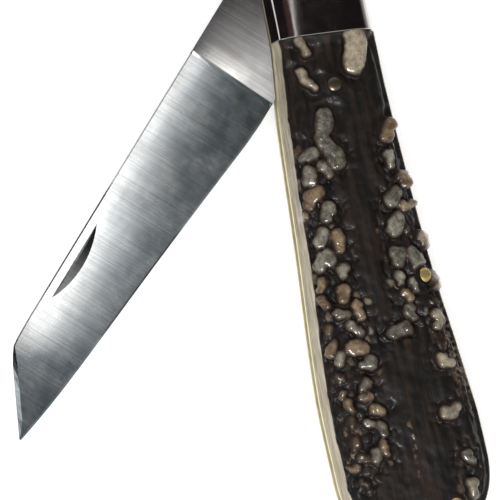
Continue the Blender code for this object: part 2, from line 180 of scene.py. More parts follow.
def value_noise(x, y, size, seed):
    """Smooth random values between -1 and 1 whose grain is `size` across."""
    gx, gy = x / size, y / size
    ix, iy = np.floor(gx).astype(np.int64), np.floor(gy).astype(np.int64)
    fx, fy = gx - ix, gy - iy
    sx = fx * fx * fx * (fx * (fx * 6 - 15) + 10)
    sy = fy * fy * fy * (fy * (fy * 6 - 15) + 10)
    low = cell_value(ix, iy, seed) * (1 - sx) + cell_value(ix + 1, iy, seed) * sx
    high = cell_value(ix, iy + 1, seed) * (1 - sx) + cell_value(ix + 1, iy + 1, seed) * sx
    return 2 * (low * (1 - sy) + high * sy) - 1


def beads(x, y, size, seed):
    """Height from 0 to 1 of round beads strewn about `size` apart, and each bead's random value."""
    gx, gy = x / size, y / size
    ix, iy = np.floor(gx).astype(np.int64), np.floor(gy).astype(np.int64)
    nearest = np.full_like(x, 9.0)
    own = np.zeros_like(x)
    for dx in (-1, 0, 1):
        for dy in (-1, 0, 1):
            cx, cy = ix + dx, iy + dy
            px = cx + 0.15 + 0.7 * cell_value(cx, cy, seed)
            py = cy + 0.15 + 0.7 * cell_value(cx, cy, seed + 1)
            swell = 0.75 + 0.5 * cell_value(cx, cy, seed + 2)
            gap = np.hypot(gx - px, gy - py) / (0.62 * swell)
            closer = gap < nearest
            nearest = np.where(closer, gap, nearest)
            own = np.where(closer, cell_value(cx, cy, seed + 3), own)
    return np.sqrt(1 - np.clip(nearest, 0, 1) ** 2), own


def rough_noise(x, y, size, seed, octaves=3):
    """Value noise with finer and weaker layers on top."""
    total = np.zeros_like(x)
    for i in range(octaves):
        turn = 0.6 + i
        u = x * math.cos(turn) - y * math.sin(turn)
        v = x * math.sin(turn) + y * math.cos(turn)
        total += value_noise(u, v, size / 2**i, seed + i) / 2**i
    return total


def ramp(value, low, high):
    """Smooth step from 0 at low to 1 at high."""
    t = np.clip((value - low) / (high - low), 0, 1)
    return t * t * (3 - 2 * t)


def between(value, rise, full, fall, end):
    """1 from full to fall, rising from 0 at rise and falling to 0 at end."""
    return ramp(value, rise, full) * (1 - ramp(value, fall, end))


# ---------------------------------------------------------------- covers as fine grids


def outline_of(node):
    """The longest loop round the node's inner face, and that face's height."""
    bm = bmesh.new()
    bm.from_mesh(NODES[node].data)
    bmesh.ops.remove_doubles(bm, verts=bm.verts, dist=1e-6)
    lows = [v.co.z for v in bm.verts]
    middle = knife_middle() * MM
    inner = min(lows, key=lambda z: abs(z - middle))
    flat = {f for f in bm.faces if all(abs(v.co.z - inner) < 2e-6 for v in f.verts)}
    rim = {}
    for edge in bm.edges:
        if len([f for f in edge.link_faces if f in flat]) == 1:
            a, b = edge.verts
            rim.setdefault(a.index, []).append(b.index)
            rim.setdefault(b.index, []).append(a.index)
    bm.verts.ensure_lookup_table()
    loops = []
    left = set(rim)
    while left:
        start = min(left)
        chain = [start]
        left.discard(start)
        while True:
            following = [n for n in rim[chain[-1]] if n in left]
            if not following:
                break
            chain.append(following[0])
            left.discard(following[0])
        loops.append(chain)
    loops = [np.array([bm.verts[i].co[:2] for i in chain]) / MM for chain in loops]
    points = max(loops, key=lambda line: np.ptp(line[:, 1]))
    bm.free()
    return {"points": points, "height": inner / MM}


def knife_middle():
    """Height of the knife's middle plane."""
    low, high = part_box("backspring")
    return (low.z + high.z) / 2 / MM


def opened(points):
    """Outline as an open line: from the joint's slot corner round the far end to its back corner."""
    lengths = np.linalg.norm(np.roll(points, -1, axis=0) - points, axis=1)
    gap = int(np.argmax(lengths))
    line = np.roll(points, -gap - 1, axis=0)
    return line if line[0][1] < line[-1][1] else line[::-1]


def smooth_line(points, steps=12):
    """Catmull-Rom curve through the points of an open line."""
    first = 2 * points[0] - points[1]
    last = 2 * points[-1] - points[-2]
    p = np.vstack([first, points, last])
    t = np.linspace(0, 1, steps, endpoint=False)[:, None]
    out = []
    for i in range(1, len(p) - 2):
        a, b, c, d = p[i - 1], p[i], p[i + 1], p[i + 2]
        out.append(0.5 * (2 * b + (c - a) * t + (2 * a - 5 * b + 4 * c - d) * t**2
                          + (3 * b - a - 3 * c + d) * t**3))
    return np.vstack(out + [points[-1:]])


class Cover:
    """Fine grid over a bolster's or a scale's outer surface.

    Columns run round the outline from the joint's slot corner to its back corner. Rows run
    from the inner face up the wall, over the crown and on to the middle line.
    """

    def __init__(self, node, cell, like=None):
        co = np.array([v.co for v in NODES[node].data.vertices]) / MM
        loop = outline_of(node)
        self.inner = loop["height"]
        self.side = 1 if co[:, 2].max() - self.inner > self.inner - co[:, 2].min() else -1
        rise = np.abs(co[:, 2] - self.inner)
        line = opened(loop["points"])
        fine = smooth_line(line)
        if like:
            self.edge_height, self.top, self.draft, self.reach = like.profile()
        else:
            levels = [h for h in np.unique(np.round(rise, 2)) if np.sum(np.abs(rise - h) < 0.02) > 12]
            self.edge_height, self.top = levels[1], levels[-1]
            self.draft = self.inset_of(co, rise, self.edge_height, fine)
            self.reach = self.inset_of(co, rise, self.top, fine) - self.draft
        self.columns(line, fine, cell)
        self.rows(cell)

    def profile(self):
        """Heights and insets of the wall and the crown."""
        return self.edge_height, self.top, self.draft, self.reach

    @staticmethod
    def gaps_to(co, line):
        """Distance of each vertex, seen from above, from the nearest point of a line."""
        return np.linalg.norm(co[:, None, :2] - line[None, :, :], axis=2).min(axis=1)

    def inset_of(self, co, rise, level, fine):
        """Usual distance from the outline of the vertices at one height."""
        at = co[np.abs(rise - level) < 0.02]
        gaps = self.gaps_to(at, fine)
        ends = np.minimum(np.abs(at[:, 0] - fine[0][0]), np.abs(at[:, 0] - fine[-1][0]))
        return float(np.median(gaps[ends > 1.5]))

    def columns(self, line, fine, cell):
        """Outline points, and the middle-line point that each runs to."""
        joint = line[0], line[-1]
        far = 1 if fine[:, 0].mean() > line[0][0] else -1
        tip = np.argmax(far * fine[:, 0])
        slot_line, back_line = fine[: tip + 1], fine[tip:][::-1]
        half = np.ptp(fine[:, 1]) / 2
        pole_x = fine[tip][0] - far * half
        shear = (joint[1][0] - joint[0][0]) / (joint[1][1] - joint[0][1])
        start = (joint[0][0] + joint[1][0]) / 2
        steps = max(3, int(abs(pole_x - start) / cell))
        middle_x = np.linspace(start, pole_x, steps + 1)

        def side_point(x, sheet):
            order = np.argsort(sheet[:, 0] - shear * sheet[:, 1])
            keys = (sheet[:, 0] - shear * sheet[:, 1])[order]
            y = np.interp(x, keys, sheet[:, 1][order])
            return np.stack([x + shear * y, y], axis=1)

        slot = side_point(middle_x, slot_line)
        back = side_point(middle_x, back_line)
        middle = (slot + back) / 2
        self.far, self.pole = far, middle[-1]
        arc = self.arc_between(fine, slot[-1], back[-1], cell)
        self.rim = np.vstack([slot, arc, back[::-1]])
        inner = [middle, np.repeat(middle[-1:], len(arc), axis=0), middle[::-1]]
        self.middle = np.vstack(inner)
        self.sides, self.arc = len(slot), len(arc)
        across = self.middle - self.rim
        self.length = np.linalg.norm(across, axis=1)
        self.inward = across / self.length[:, None]
        tangent = np.gradient(self.rim, axis=0)
        tangent /= np.linalg.norm(tangent, axis=1)[:, None]
        normal = np.stack([-tangent[:, 1], tangent[:, 0]], axis=1) * far
        self.slant = np.clip(np.abs(np.sum(normal * self.inward, axis=1)), 0.8, 1)

    @staticmethod
    def arc_between(fine, start, end, cell):
        """Even points along the outline between two of its points, without the two."""
        first = int(np.argmin(np.linalg.norm(fine - start, axis=1)))
        last = int(np.argmin(np.linalg.norm(fine - end, axis=1)))
        line = np.vstack([start, fine[first + 1: last], end])
        run = np.concatenate([[0], np.cumsum(np.linalg.norm(np.diff(line, axis=0), axis=1))])
        at = np.linspace(0, run[-1], int(run[-1] / cell) + 2)[1:-1]
        return np.stack([np.interp(at, run, line[:, i]) for i in (0, 1)], axis=1)

    def rows(self, cell):
        """Inset, height and slope of every row; the flat rows' insets are shares of the rest."""
        wall = np.linspace(0, 1, int(self.edge_height / cell) + 1)
        rise = self.top - self.edge_height
        angle = np.linspace(0, math.pi / 2, int((self.reach + rise) * 0.85 / cell) + 1)[1:]
        self.inset = np.concatenate([self.draft * wall, self.draft + self.reach * (1 - np.cos(angle))])
        self.height = np.concatenate([self.edge_height * wall, self.edge_height + rise * np.sin(angle)])
        out = np.concatenate([np.full(len(wall), self.edge_height), rise * np.cos(angle)])
        up = np.concatenate([np.full(len(wall), self.draft), self.reach * np.sin(angle)])
        size = np.hypot(out, up)
        self.out, self.up = out / size, up / size
        self.wall_rows = len(wall)
        flat = self.length.max() - self.inset[-1]
        self.flat_rows = max(3, int(flat / cell))

    def grid(self):
        """Places (row, column, xyz) and outward normals of the CAD surface's fine grid."""
        places, normals = [], []
        for inset, height, out, up in zip(self.inset, self.height, self.out, self.up):
            xy = self.rim + self.inward * (inset / self.slant)[:, None]
            places.append(self.lift(xy, height))
            flat = -self.inward * out
            normals.append(np.column_stack([flat, np.full(len(flat), up * self.side)]))
        start = self.inset[-1] / self.slant
        for share in np.linspace(0, 1, self.flat_rows + 1)[1:]:
            xy = self.rim + self.inward * (start + (self.length - start) * share)[:, None]
            places.append(self.lift(xy, self.top))
            normals.append(np.tile([0.0, 0.0, float(self.side)], (len(xy), 1)))
        return np.array(places), np.array(normals)

    def lift(self, xy, height):
        """Points at a height above the inner face."""
        return np.column_stack([xy, np.full(len(xy), self.inner + self.side * height)])

    def mesh(self, name, places, values):
        """Closed mesh of the grid, with point attributes (row, column arrays by name)."""
        rows, columns = places.shape[:2]
        index = np.arange(rows * columns).reshape(rows, columns)
        last = index[-1].copy()
        last[self.sides: self.sides + self.arc] = last[self.sides - 1]
        last[self.sides + self.arc:] = last[: self.sides][::-1]
        index[-1] = last
        faces = []
        for r in range(rows - 1):
            low, high = index[r], index[r + 1]
            for c in range(columns - 1):
                face = [low[c], low[c + 1], high[c + 1], high[c]]
                face = [v for i, v in enumerate(face) if v != face[i - 1]]
                faces.append([int(v) for v in face])
        faces.append([int(v) for v in index[0][::-1]])
        joint = list(index[:, 0][::-1]) + list(index[:-1, -1])
        faces.append([int(v) for v in dict.fromkeys(joint)])
        mesh = bpy.data.meshes.new(name)
        mesh.from_pydata((places.reshape(-1, 3) * MM).tolist(), [], faces)
        for key, array in values.items():
            layer = mesh.attributes.new(key, "FLOAT", "POINT")
            layer.data.foreach_set("value", array.reshape(-1).astype(np.float32))
        bm = bmesh.new()
        bm.from_mesh(mesh)
        loose = [v for v in bm.verts if not v.link_faces]
        bmesh.ops.delete(bm, geom=loose, context="VERTS")
        bmesh.ops.recalc_face_normals(bm, faces=bm.faces)
        bm.to_mesh(mesh)
        bm.free()
        mesh.shade_smooth()
        return mesh


# ---------------------------------------------------------------- bark of the stag


def bar_distance(x, y, start, end):
    """Distance outside a rounded bar whose radius changes along it, negative inside."""
    x1, y1, r1 = start
    x2, y2, r2 = end
    dx, dy = x2 - x1, y2 - y1
    t = np.clip(((x - x1) * dx + (y - y1) * dy) / (dx * dx + dy * dy), 0, 1)
    return np.hypot(x - x1 - t * dx, y - y1 - t * dy) - (r1 + (r2 - r1) * t)


def nodule_field(x, y, nodules, seed):
    """Distance outside the nearest nodule, that nodule's shade, and a random tone of its own."""
    best = np.full_like(x, 1e3)
    shade = np.zeros_like(x)
    tone = np.zeros_like(x)
    tones = np.random.default_rng(seed).random(len(nodules))
    for (kind, chain), own in zip(nodules, tones):
        near = np.full_like(x, 1e3)
        for start, end in zip(chain, chain[1:]):
            near = np.minimum(near, bar_distance(x, y, start, end))
        closer = near < best
        best = np.where(closer, near, best)
        shade = np.where(closer, SHADE[kind], shade)
        tone = np.where(closer, own, tone)
    return best - NODULE_GROWTH, shade, tone


def stand_of(normals, y, side):
    """How far nodules stand proud of the CAD surface: most on the rounded back."""
    out = np.hypot(normals[..., 0], normals[..., 1])
    flat = TOP_STAND if side > 0 else -0.04
    edge = np.where(y > 0, BACK_STAND, SLOT_STAND)
    return flat * (1 - out) + edge * out


def specks(x, y, out, crack, seed):
    """Where small tan specks show: along a drying crack and on the rounded back."""
    bead, own = beads(x, y, SPECK_SIZE, seed)
    start, end = crack
    wander = 0.25 * value_noise(x, y * 0, 2.0, seed + 5)
    line = np.exp(-(((y - wander) / CRACK_WIDTH) ** 2)) * between(x, start, start + 1, end - 1, end)
    back = ramp(out, 0.15, 0.5) * (y > 0) * between(x, *BACK_SPECKS)
    return np.maximum(line, 0.65 * back) * ramp(own, 0.45, 0.6) * ramp(bead, 0.2, 0.7)


def bark(places, normals, cover, nodules, pins, crack, seed):
    """Depth below the CAD surface, and the masks that the material reads."""
    x, y = places[..., 0], places[..., 1]
    drop = cover.top - np.abs(places[..., 2] - cover.inner)
    v = y + np.sign(y) * drop
    wx = x + WAVER * value_noise(x, y, 2.0, seed) + FINE_WAVER * value_noise(x, y, 0.7, seed + 1)
    wy = y + WAVER * value_noise(x, y, 1.8, seed + 2) + FINE_WAVER * value_noise(x, y, 0.7, seed + 3)
    away, shade, tone = nodule_field(wx, wy, nodules, seed)
    out = np.hypot(normals[..., 0], normals[..., 1])
    flank = ramp(out, 0.25, 0.8) * (y > 0) * ramp(x, FLANK_START, FLANK_SET)
    near = np.maximum(1 - ramp(away, 0.5, 2.2), 0.3 * flank)
    grain = value_noise(x / 7, v / 0.8, 1.0, seed + 4)
    pebble, pebble_tone = beads(wx, v + wy - y, BEAD_SIZE, seed + 8)
    pebble *= near * ramp(x, 26, 32)
    ground = CHANNEL_DEPTH + CLUSTER_DEPTH * near - PEBBLE * pebble
    ground += 0.10 * rough_noise(x, v, 3.0, seed + 5) + 0.05 * grain
    ground += 0.14 * flank * value_noise(x, v, 1.7, seed + 10)
    share = np.clip(-away / DOME_REACH, 0, 1)
    lump = np.sqrt(1 - (1 - share) ** 2) * np.where(shade < 0.3, BROWN_HEIGHT, 1.0)
    uneven = 0.12 * (1 + rough_noise(x, v, 1.3, seed + 6, 2))
    crease = np.exp(-((rough_noise(x, v, 2.2, seed + 30, 2) / 0.09) ** 2)) * ramp(shade, 0.9, 0.7)
    top = np.clip(uneven, 0, 1) + CREASE_DEPTH * crease - stand_of(normals, y, cover.side)
    depth = ground * (1 - lump) + top * lump
    # bone rises over the first millimetre inside a nodule, and the material darkens the nodule along that
    # rise: partly its own brown rim, partly painted shade where its dome turns down
    bone = ramp(-away, -0.02, 1.0) * np.where(shade < 0.3, 0.4, 1.0) * (1 - 0.35 * crease)
    worn = ramp(pebble, 0.45, 1.0) * ramp(pebble_tone, 0.82, 0.92) * 0.65
    shade = np.where((away > 0.1) & (worn > 0), 0.7, shade)
    bone = np.maximum(bone, worn * (away > 0.1))
    speck = specks(x, v, out, crack, seed + 20) * (away > 0.1)
    shade = np.where(speck > 0.1, 0.55, shade)
    bone = np.maximum(bone, 0.8 * speck)
    depth -= SPECK_RISE * speck
    rows = np.arange(places.shape[0])[:, None] * np.ones_like(x)
    wave = 1.6 * value_noise(x, y * 0, 2.6, seed + 7) + 0.8 * value_noise(x, y * 0, 0.9, seed + 9)
    shelf = SHELF_ROWS * between(x, *SHELF) + LOW_SHELF_ROWS * between(x, *LOW_SHELF)
    bone_rows = np.where(y < 0, cover.wall_rows + wave + shelf, 0.3 * cover.wall_rows + wave)
    edge_set = SLOT_SET * (y < 0)
    depth = edge_set + (depth - edge_set) * ramp(rows, bone_rows - 0.5, bone_rows + 2.0)
    wall = 1 - ramp(rows, bone_rows - 1.5, bone_rows - 0.5)
    joint = np.abs((x - cover.rim[0][0]) - (y - cover.rim[0][1]) * cover.skew)
    depth = np.where(depth > 0, depth * (0.12 + 0.88 * ramp(joint, 0.0, JOINT_FADE)), depth)
    depth = np.where(depth < 0, depth * ramp(joint, 0.3, JOINT_RISE_FADE), depth)
    for px, py, radius in pins:
        gap = np.hypot(x - px, y - py) - radius
        seat = 1 - ramp(gap, *SEAT_BLEND)
        depth = depth * (1 - seat) + seat * PIN_SEAT
        bone = bone * (1 - seat)
    return depth, {"bone": bone, "shade": shade, "tone": tone, "wall": wall}


# ---------------------------------------------------------------- materials


class Look:
    """A node material, built up a node at a time around one Principled shader."""

    def __init__(self, name):
        self.material = bpy.data.materials.new(name)
        self.material.use_nodes = True
        self.tree = self.material.node_tree
        self.shader = self.tree.nodes["Principled BSDF"]
        self.spot = self.add("ShaderNodeTexCoord").outputs["Object"]

    def add(self, kind, inputs=None, **settings):
        """Add a node; inputs maps a socket's name or number to a value or another socket."""
        node = self.tree.nodes.new(kind)
        for key, value in settings.items():
            setattr(node, key, value)
        for key, value in (inputs or {}).items():
            self.put(node.inputs[key], value)
        return node

    def put(self, socket, value):
        """Give a socket a value, or link it."""
        if isinstance(value, bpy.types.NodeSocket):
            self.tree.links.new(value, socket)
        else:
            socket.default_value = value

    def placed(self, scale, turn=0.0):
        """Object coordinates turned about Z and stretched; scale is in grains per millimetre."""
        turned = self.add(
            "ShaderNodeMapping", {"Vector": self.spot, "Rotation": (0, 0, turn)}
        ).outputs[0]
        stretch = tuple(s / MM for s in scale)
        return self.add("ShaderNodeMapping", {"Vector": turned, "Scale": stretch}).outputs[0]

    def noise(self, scale, detail=3.0, rough=0.5, turn=0.0, distort=0.0):
        """Noise between 0 and 1, its grain set per axis."""
        return self.add(
            "ShaderNodeTexNoise",
            {"Vector": self.placed(scale, turn), "Scale": 1.0, "Detail": detail,
             "Roughness": rough, "Distortion": distort},
        ).outputs["Fac"]

    def span(self, value, low, high, to_low=0.0, to_high=1.0):
        """Map a value's range onto another, clamped."""
        return self.add(
            "ShaderNodeMapRange",
            {"Value": value, "From Min": low, "From Max": high, "To Min": to_low, "To Max": to_high},
        ).outputs[0]

    def math(self, operation, a, b=0.0):
        """One arithmetic node."""
        node = self.add("ShaderNodeMath", operation=operation)
        self.put(node.inputs[0], a)
        self.put(node.inputs[1], b)
        return node.outputs[0]

    def mix(self, factor, a, b):
        """Blend two colours."""
        node = self.add("ShaderNodeMix", data_type="RGBA")
        self.put(node.inputs["Factor"], factor)
        self.put(node.inputs["A"], a if isinstance(a, bpy.types.NodeSocket) else (*a, 1.0))
        self.put(node.inputs["B"], b if isinstance(b, bpy.types.NodeSocket) else (*b, 1.0))
        return node.outputs["Result"]

    def mask(self, name):
        """A mesh attribute."""
        return self.add("ShaderNodeAttribute", attribute_name=name).outputs["Fac"]

    def bump(self, height, distance, strength=1.0, normal=None):
        """Bump of a height in millimetres."""
        inputs = {"Height": height, "Distance": distance * MM, "Strength": strength}
        if normal is not None:
            inputs["Normal"] = normal
        return self.add("ShaderNodeBump", inputs).outputs[0]

    def finish(self, **sockets):
        """Set the shader's sockets by name, with _ for a space."""
        for key, value in sockets.items():
            self.put(self.shader.inputs[key.replace("_", " ")], value)
        return self.material


def stag_look(name):
    """Burnt bark with polished, mottled nodules and walls ground to bone; the nodules darken towards their
    edges, partly their own brown rims and partly painted shade.
    """
    look = Look(name)
    bone, shade, wall, tone = (look.mask(key) for key in ("bone", "shade", "wall", "tone"))
    streak = look.noise((0.10, 0.9, 0.9), detail=5.0)
    dark = look.mix(look.span(streak, 0.45, 0.70), (0.006, 0.005, 0.0038), (0.022, 0.013, 0.009))
    cloud = look.noise((0.9, 0.9, 0.9), detail=5.0, rough=0.65)
    mottle = look.span(look.math("ADD", cloud, look.math("MULTIPLY", tone, 0.25)), 0.42, 0.80)
    tan = look.mix(mottle, (0.12, 0.075, 0.04), (0.30, 0.22, 0.13))
    grey = look.mix(mottle, (0.060, 0.058, 0.045), (0.29, 0.28, 0.215))
    pale = look.mix(mottle, (0.17, 0.15, 0.11), (0.47, 0.39, 0.27))
    nodule = look.mix(look.span(shade, 0.5, 0.75), tan, grey)
    nodule = look.mix(look.span(shade, 0.8, 1.0), nodule, pale)
    # Nodules darken from centre to edge along the bone mask: partly their own brown rims, partly painted
    # shade where the domes turn down
    rim = look.mix(look.span(bone, 0.0, 0.30), dark, (0.050, 0.030, 0.018))
    pores = look.noise((5.0, 5.0, 5.0), detail=2.0)
    pitted = look.mix(look.span(pores, 0.58, 0.68, 0.0, 0.6), nodule, (0.05, 0.035, 0.022))
    ragged = look.math("ADD", bone, look.span(cloud, 0.3, 0.7, -0.12, 0.12))
    bark_colour = look.mix(look.span(ragged, 0.22, 0.98), rim, pitted)
    lines = look.noise((0.15, 3.0, 1.2), detail=4.0)
    ground_bone = look.mix(look.span(lines, 0.35, 0.65), (0.34, 0.29, 0.21), (0.56, 0.50, 0.39))
    patch = look.noise((0.20, 0.5, 0.5), detail=3.0)
    ground_bone = look.mix(look.span(patch, 0.56, 0.72, 0.0, 0.55), ground_bone, (0.16, 0.11, 0.07))
    colour = look.mix(wall, bark_colour, ground_bone)
    fine = look.noise((7.0, 7.0, 7.0), detail=3.0)
    grain = look.noise((0.5, 4.0, 4.0), detail=3.0)
    normal = look.bump(fine, 0.04, 0.6, look.bump(grain, 0.08, 0.5))
    rub = look.math("SUBTRACT", cloud, look.math("MULTIPLY", bone, 0.4))
    roughness = look.span(rub, 0.0, 0.7, 0.34, 0.58)
    coat = look.span(bone, 0.1, 0.6, 0.08, 0.9)
    return look.finish(
        Base_Color=colour, Roughness=roughness, Normal=normal, Coat_Weight=coat, Coat_Roughness=0.13,
        Specular_IOR_Level=0.2,
    )


def steel_look(name, turn, spine, grind, kink):
    """Blade steel: ground across and cloudy below, with painted sheen that darkens away from the spine, a
    painted highlight along the spine, a painted reflection on the tang and painted shade in the nail nick.

    turn brings the blade's length on to X; spine is the spine's Y there, grind the X of the
    grind line and kink the X where the spine starts to drop.
    """
    look = Look(name)
    split = look.add("ShaderNodeSeparateXYZ", {"Vector": look.placed((1, 1, 1), turn)})
    along, down = split.outputs["X"], look.math("SUBTRACT", split.outputs["Y"], spine)
    cloud = look.noise((0.30, 0.30, 0.3), detail=5.0, rough=0.6, turn=turn)
    arcs = look.noise((1.3, 0.10, 0.3), detail=4.0, turn=turn + 0.5, distort=0.8)
    lines = look.noise((2.6, 0.05, 0.3), detail=5.0, rough=0.65, turn=turn)
    sway = look.noise((0.12, 0.12, 0.3), detail=2.0, turn=turn)
    wide, small = look.span(sway, 0.3, 0.7, -0.9, 0.9), look.span(cloud, 0.3, 0.7, -0.3, 0.3)
    drift = look.math("ADD", wide, small)
    depth = look.math("ADD", down, drift)
    length = kink - grind
    heel, middle, end = (grind + share * length for share in BLADE_ZONES)
    # Painted sheen in place of the room's reflections: the face is lighter near the spine and darker away
    # from it, and lighter from the heel towards the middle; noise makes the line between them wander
    near = look.mix(look.span(along, heel, middle), (0.40, 0.42, 0.43), (0.66, 0.68, 0.69))
    far = look.mix(look.span(along, heel, middle), (0.16, 0.19, 0.20), (0.36, 0.40, 0.42))
    body = look.mix(look.span(depth, 2.0, 9.5), near, far)
    # Past the kink the drop gets the same painted sheen: lighter near the spine, darker away from it
    past = look.math("ADD", along, look.math("MULTIPLY", down, 0.35))
    drop = look.mix(look.span(depth, 2.0, 9.0), (0.42, 0.46, 0.48), (0.22, 0.26, 0.29))
    body = look.mix(look.span(past, kink - 4.0, kink + 1.5), body, drop)
    haze = look.math("MULTIPLY", look.span(cloud, 0.40, 0.68), look.span(arcs, 0.30, 0.65, 0.35, 1.0))
    body = look.mix(look.math("MULTIPLY", haze, 0.40), body, (0.70, 0.70, 0.66))
    blue = look.noise((0.25, 0.6, 0.5), detail=4.0, turn=turn)
    body = look.mix(look.span(blue, 0.45, 0.70, 0.0, 0.35), body, (0.34, 0.41, 0.46))
    # Painted highlight: a light band along the spine that widens towards the kink, fades out past the kink
    # and is weaker towards the heel
    width = look.add(
        "ShaderNodeMapRange",
        {"Value": along, "From Min": middle, "From Max": end, "To Min": 1.2, "To Max": 3.2},
        interpolation_type="SMOOTHSTEP",
    ).outputs[0]
    highlight_band = look.math("DIVIDE", depth, width)
    glow = look.span(highlight_band, 0.8, 3.6, 0.66, 0.0)
    highlight_core = look.span(highlight_band, 0.9, 2.3, 1.0, 0.0)
    spine_highlight = look.math("MAXIMUM", look.math("MULTIPLY", glow, glow), highlight_core)
    spine_highlight = look.math("MULTIPLY", spine_highlight, look.span(past, kink - 1.5, kink + 1.6, 1.0, 0.0))
    spine_highlight = look.math("MULTIPLY", spine_highlight, look.span(along, grind, middle, 0.6, 1.0))
    body = look.mix(look.math("MULTIPLY", spine_highlight, 0.6), body, (0.88, 0.89, 0.88))
    # Painted reflection on the tang: a light band just short of the grind line, darker next to the spine and
    # greyer further from it
    tang = look.mix(look.span(along, grind - 3.2, grind - 0.3), (0.42, 0.41, 0.40), (0.95, 0.93, 0.90))
    tang = look.mix(look.span(down, 0.2, 3.0), (0.36, 0.35, 0.35), tang)
    tang = look.mix(look.span(down, 6.5, 10.5), tang, (0.58, 0.57, 0.56))
    line_x = look.math("SUBTRACT", along, look.math("MULTIPLY", down, GRIND_LEAN))
    steel = look.mix(look.span(line_x, grind - 0.15, grind + 0.05), tang, body)
    # Painted shade in the nail nick: its sloping faces are made nearly black
    face = look.add("ShaderNodeNewGeometry").outputs["True Normal"]
    facing = look.add("ShaderNodeSeparateXYZ", {"Vector": face})
    level = look.math("ABSOLUTE", facing.outputs["Z"])
    steep, tilted = look.span(level, 0.25, 0.35), look.span(level, 0.90, 0.985, 1.0, 0.0)
    sloping = look.math("MULTIPLY", steep, tilted)
    nick = look.math("MULTIPLY", sloping, look.span(along, middle, middle + 2.0))
    nick = look.math("MULTIPLY", nick, look.span(along, end + 1.0, end + 3.0, 1.0, 0.0))
    steel = look.mix(nick, steel, (0.035, 0.032, 0.032))
    streaks = look.span(lines, 0.35, 0.65, 0.86, 1.10)
    colour = look.add("ShaderNodeMix", data_type="RGBA", blend_type="MULTIPLY")
    look.put(colour.inputs["Factor"], 1.0)
    look.put(colour.inputs["A"], steel)
    grey = look.add("ShaderNodeCombineColor", {"Red": streaks, "Green": streaks, "Blue": streaks})
    look.put(colour.inputs["B"], grey.outputs[0])
    fine = look.noise((9.0, 0.12, 0.5), detail=4.0, turn=turn)
    roughness = look.span(cloud, 0.3, 0.7, 0.14, 0.21)
    normal = look.bump(look.math("ADD", fine, lines), 0.005, 0.6)
    return look.finish(
        Base_Color=colour.outputs["Result"], Metallic=1.0, Roughness=roughness, Normal=normal
    )


def metal_look(name, dark, light, low_rough, high_rough, scratch_scale, depth, metallic=1.0):
    """A worked metal with fine scratches and cloudy wear."""
    look = Look(name)
    cloud = look.noise((0.5, 0.5, 0.5), detail=4.0)
    scratch = look.noise(scratch_scale, detail=4.0)
    colour = look.mix(look.span(cloud, 0.3, 0.7), dark, light)
    roughness = look.span(look.math("ADD", cloud, scratch), 0.7, 1.3, low_rough, high_rough)
    return look.finish(
        Base_Color=colour, Metallic=metallic, Roughness=roughness, Normal=look.bump(scratch, depth, 0.6)
    )


# ---------------------------------------------------------------- pieces from CAD meshes


def dressed(name, node, material, body, bevel, smooth_angle):
    """Copy of a CAD node with rounded edges and clean shading."""
    bm = bmesh.new()
    bm.from_mesh(NODES[node].data)
    bmesh.ops.remove_doubles(bm, verts=bm.verts, dist=2e-6)
    bmesh.ops.dissolve_limit(
        bm, angle_limit=math.radians(0.3), verts=bm.verts, edges=bm.edges, delimit={"NORMAL"}
    )
    mesh = bpy.data.meshes.new(name)
    bm.to_mesh(mesh)
    bm.free()
    mesh.shade_smooth()
    mesh.set_sharp_from_angle(angle=smooth_angle)
    piece = add_piece(name, mesh, material, body, [node])
    if bevel:
        edge = piece.modifiers.new("edges", "BEVEL")
        edge.width = bevel * MM
        edge.segments = 2
        edge.limit_method = "ANGLE"
        edge.angle_limit = math.radians(28)
        edge.use_clamp_overlap = True
    weigh = piece.modifiers.new("shading", "WEIGHTED_NORMAL")
    weigh.keep_sharp = True
    return piece


def turned(name, node, material, slot_name, dome, proud=0.0):
    """Round pin with smoothly domed ends, turned to a CAD pin's size."""
    low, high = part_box(node)
    centre = (low + high) / 2 / MM
    radius = (high.x - low.x) / 2 / MM
    bottom, top = low.z / MM - proud, high.z / MM + proud
    angles = [math.pi / 2 * i / DOME_RINGS for i in range(DOME_RINGS + 1)]
    arc = [(radius * math.sin(a), dome * (1 - math.cos(a))) for a in angles]
    profile = [(r, bottom + fall) for r, fall in arc] + [(r, top - fall) for r, fall in reversed(arc)]
    bm = bmesh.new()
    verts = [bm.verts.new((r, 0, z)) for r, z in profile]
    edges = [bm.edges.new(pair) for pair in zip(verts, verts[1:])]
    bmesh.ops.spin(
        bm, geom=verts + edges, cent=(0, 0, 0), axis=(0, 0, 1), dvec=(0, 0, 0),
        angle=2 * math.pi, steps=PIN_SIDES, use_merge=True,
    )
    bmesh.ops.remove_doubles(bm, verts=bm.verts, dist=1e-4)
    bmesh.ops.recalc_face_normals(bm, faces=bm.faces)
    bmesh.ops.translate(bm, vec=(centre.x, centre.y, 0), verts=bm.verts)
    bmesh.ops.scale(bm, vec=(MM, MM, MM), verts=bm.verts)
    mesh = bpy.data.meshes.new(name)
    bm.to_mesh(mesh)
    bm.free()
    mesh.shade_smooth()
    return add_piece(name, mesh, material, "handle", [node])


def stag_scale(side, nodule_seed, pins, seed, material):
    """One stag scale: bark with nodules over the CAD scale's shape."""
    node = f"{side}_scale"
    cover = Cover(node, CELL)
    cover.skew = (cover.rim[-1][0] - cover.rim[0][0]) / (cover.rim[-1][1] - cover.rim[0][1])
    places, normals = cover.grid()
    low, high = (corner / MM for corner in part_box(node))
    crack = [low.x + share * (high.x - low.x) for share in CRACK]
    nodules = bark_nodules(node, nodule_seed)
    depth, masks = bark(places, normals, cover, nodules, pins, crack, seed)
    places = places - normals * depth[..., None]
    mesh = cover.mesh(f"{side}_stag", places, masks)
    mesh.set_sharp_from_angle(angle=math.radians(75))
    add_piece(f"{side}_stag", mesh, material, "handle", [node])
    return cover


